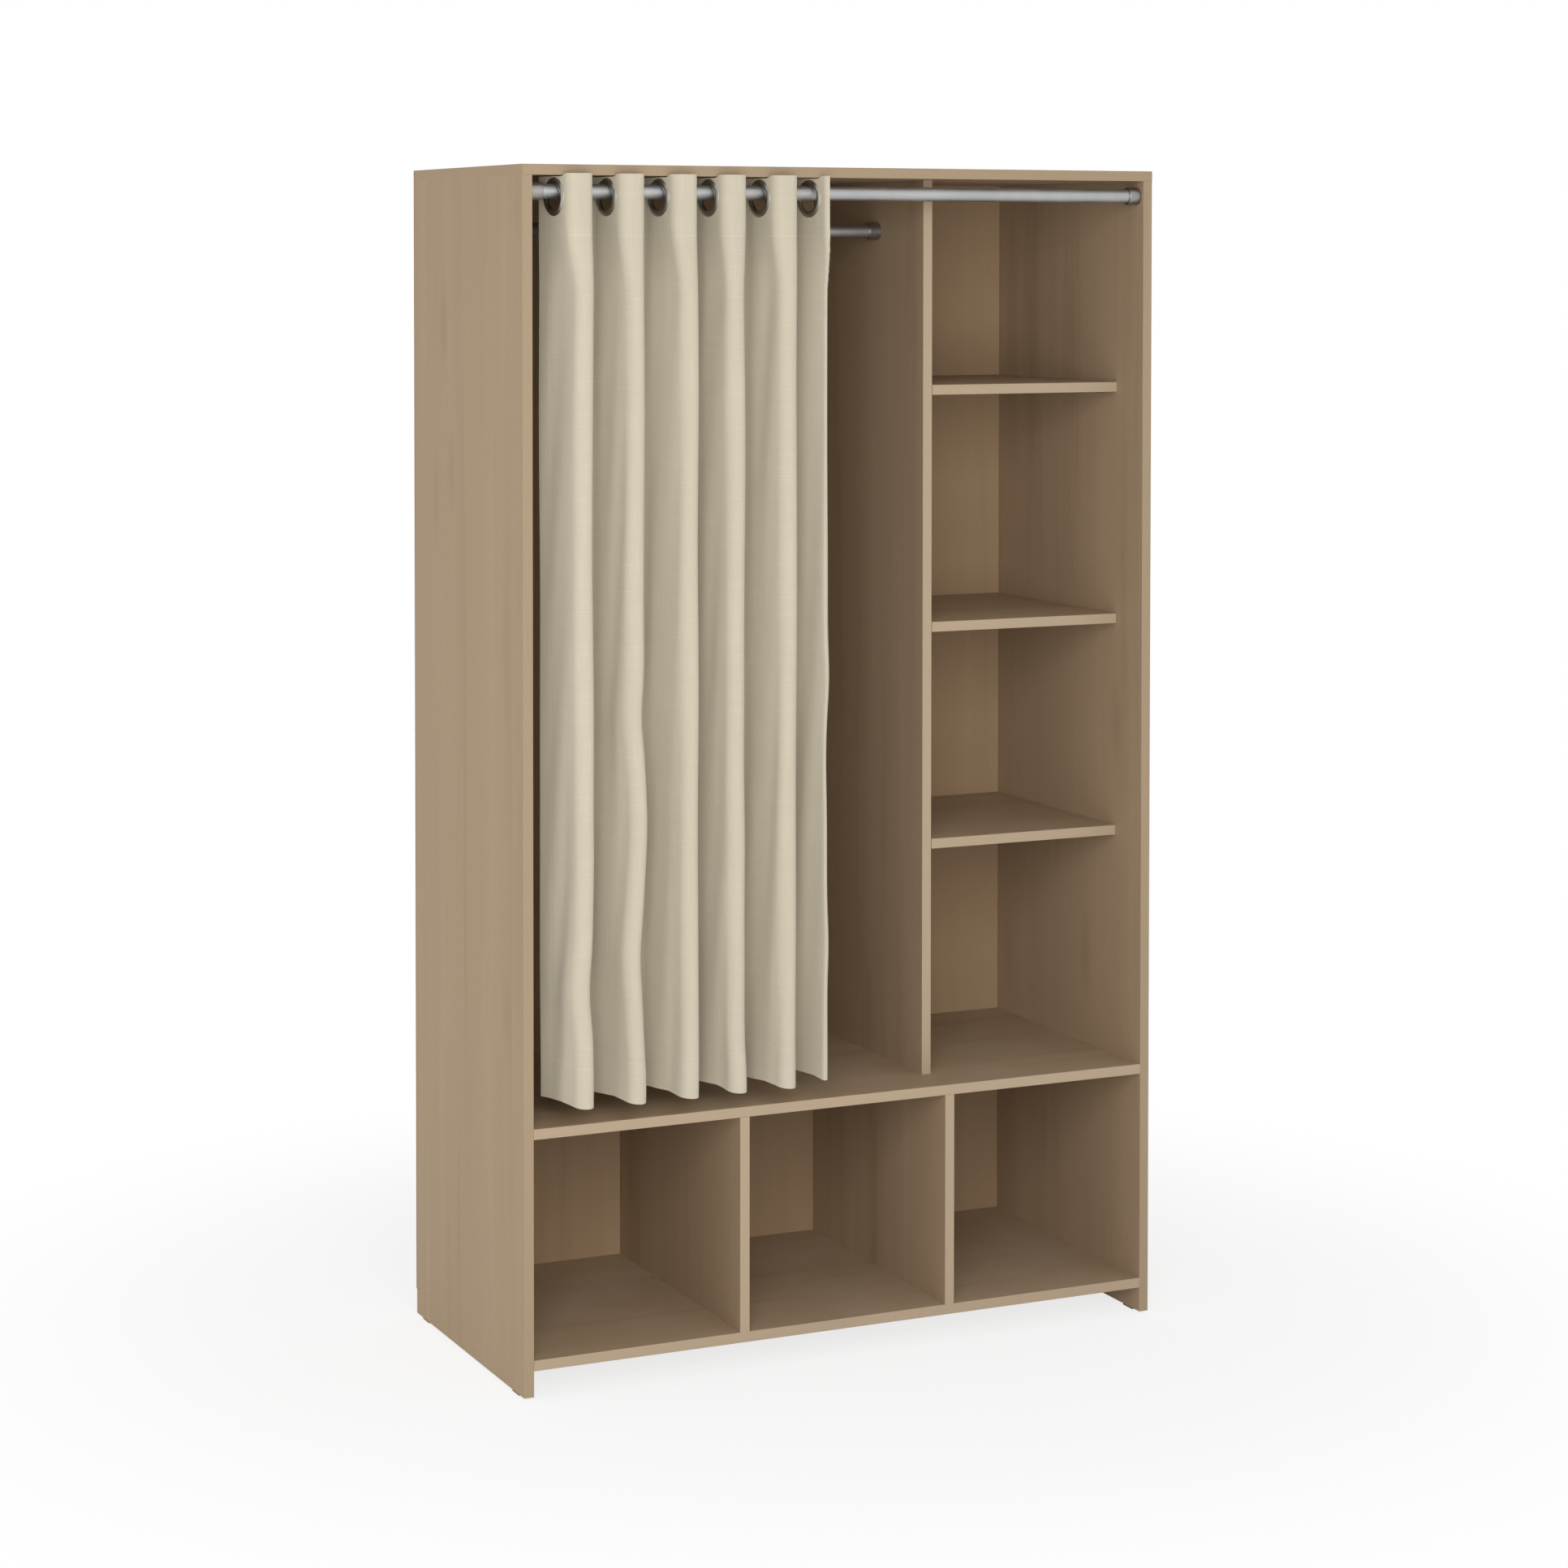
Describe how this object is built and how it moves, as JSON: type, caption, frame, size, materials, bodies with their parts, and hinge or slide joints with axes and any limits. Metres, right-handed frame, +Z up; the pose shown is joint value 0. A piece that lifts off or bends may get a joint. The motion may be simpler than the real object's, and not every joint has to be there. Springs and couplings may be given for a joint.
{
  "type": "wardrobe",
  "caption": "Open wardrobe of pale oak boards with a hanging bay behind an eyelet curtain, a column of loose shelves and cubes below.",
  "frame": {"origin": "centre of the bounding box's bottom, on the floor", "axes": "+Z up, -Y towards the open front, +X to the shelf column"},
  "size_m": [1.08, 0.5158, 1.85],
  "materials": {
    "oak_board": "pale oak-effect board with matching edges, satin",
    "back_sheet": "thin printed board in the same oak, matt",
    "beech": "fluted beech, bare",
    "tube_metal": "satin steel tube",
    "socket_metal": "satin nickel",
    "eyelet_metal": "dark polished nickel",
    "curtain_cloth": "cream plain-woven cloth",
    "zinc_fittings": "zinc-plated",
    "steel_fixings": "bright zinc-plated steel",
    "pin_steel": "nickel-plated steel",
    "glide_plastic": "brown moulded plastic"
  },
  "bodies": {
    "carcass": {"back_panel_left": "back_sheet", "back_panel_nails": "steel_fixings", "back_panel_right": "back_sheet", "bottom_shelf": "oak_board", "cam_bolts": "steel_fixings", "cam_locks": "zinc_fittings", "column_shelf_lower": "oak_board", "column_shelf_middle": "oak_board", "column_shelf_upper": "oak_board", "confirmat_screws": "steel_fixings", "curtain_rod": "tube_metal", "curtain_rod_socket_left": "socket_metal", "curtain_rod_socket_right": "socket_metal", "floor_glides": "glide_plastic", "hanging_rail": "tube_metal", "hanging_rail_socket_left": "socket_metal", "hanging_rail_socket_right": "socket_metal", "left_lower_divider": "oak_board", "left_side_panel": "oak_board", "middle_shelf": "oak_board", "right_lower_divider": "oak_board", "right_side_panel": "oak_board", "shelf_pins": "pin_steel", "socket_screws": "steel_fixings", "tall_divider": "oak_board", "top_panel": "oak_board", "wall_bracket_left": "zinc_fittings", "wall_bracket_right": "zinc_fittings", "wall_bracket_screws": "steel_fixings", "wooden_dowels": "beech"},
    "fold_01": {"curtain_fold_01": "curtain_cloth", "curtain_eyelet_01": "eyelet_metal"},
    "fold_02": {"curtain_fold_02": "curtain_cloth", "curtain_eyelet_02": "eyelet_metal"},
    "fold_03": {"curtain_fold_03": "curtain_cloth", "curtain_eyelet_03": "eyelet_metal"},
    "fold_04": {"curtain_fold_04": "curtain_cloth", "curtain_eyelet_04": "eyelet_metal"},
    "fold_05": {"curtain_fold_05": "curtain_cloth", "curtain_eyelet_05": "eyelet_metal"},
    "fold_06": {"curtain_fold_06": "curtain_cloth", "curtain_eyelet_06": "eyelet_metal"},
    "fold_07": {"curtain_fold_07": "curtain_cloth", "curtain_eyelet_07": "eyelet_metal"},
    "fold_08": {"curtain_fold_08": "curtain_cloth", "curtain_eyelet_08": "eyelet_metal"},
    "fold_09": {"curtain_fold_09": "curtain_cloth", "curtain_eyelet_09": "eyelet_metal"},
    "fold_10": {"curtain_fold_10": "curtain_cloth", "curtain_eyelet_10": "eyelet_metal"},
    "fold_11": {"curtain_fold_11": "curtain_cloth", "curtain_eyelet_11": "eyelet_metal"}
  },
  "joints": [
    {"name": "first_fold_slide", "type": "slide", "parent": "carcass", "child": "fold_01", "axis": [1, 0, 0], "range_m": [-0.014, 0]},
    {"name": "curtain_draw", "type": "slide", "parent": "fold_01", "child": "fold_02", "axis": [1, 0, 0], "range_m": [0, 0.056]},
    {"name": "fold_03_slide", "type": "slide", "parent": "fold_02", "child": "fold_03", "axis": [1, 0, 0], "range_m": [0, 0.056]},
    {"name": "fold_04_slide", "type": "slide", "parent": "fold_03", "child": "fold_04", "axis": [1, 0, 0], "range_m": [0, 0.056]},
    {"name": "fold_05_slide", "type": "slide", "parent": "fold_04", "child": "fold_05", "axis": [1, 0, 0], "range_m": [0, 0.056]},
    {"name": "fold_06_slide", "type": "slide", "parent": "fold_05", "child": "fold_06", "axis": [1, 0, 0], "range_m": [0, 0.056]},
    {"name": "fold_07_slide", "type": "slide", "parent": "fold_06", "child": "fold_07", "axis": [1, 0, 0], "range_m": [0, 0.056]},
    {"name": "fold_08_slide", "type": "slide", "parent": "fold_07", "child": "fold_08", "axis": [1, 0, 0], "range_m": [0, 0.056]},
    {"name": "fold_09_slide", "type": "slide", "parent": "fold_08", "child": "fold_09", "axis": [1, 0, 0], "range_m": [0, 0.056]},
    {"name": "fold_10_slide", "type": "slide", "parent": "fold_09", "child": "fold_10", "axis": [1, 0, 0], "range_m": [0, 0.056]},
    {"name": "fold_11_slide", "type": "slide", "parent": "fold_10", "child": "fold_11", "axis": [1, 0, 0], "range_m": [0, 0.056]}
  ],
  "couplings": [
    {"joint": "first_fold_slide", "follows": "curtain_draw", "ratio": -0.25},
    {"joint": "fold_03_slide", "follows": "curtain_draw", "ratio": 1},
    {"joint": "fold_04_slide", "follows": "curtain_draw", "ratio": 1},
    {"joint": "fold_05_slide", "follows": "curtain_draw", "ratio": 1},
    {"joint": "fold_06_slide", "follows": "curtain_draw", "ratio": 1},
    {"joint": "fold_07_slide", "follows": "curtain_draw", "ratio": 1},
    {"joint": "fold_08_slide", "follows": "curtain_draw", "ratio": 1},
    {"joint": "fold_09_slide", "follows": "curtain_draw", "ratio": 1},
    {"joint": "fold_10_slide", "follows": "curtain_draw", "ratio": 1},
    {"joint": "fold_11_slide", "follows": "curtain_draw", "ratio": 1}
  ]
}
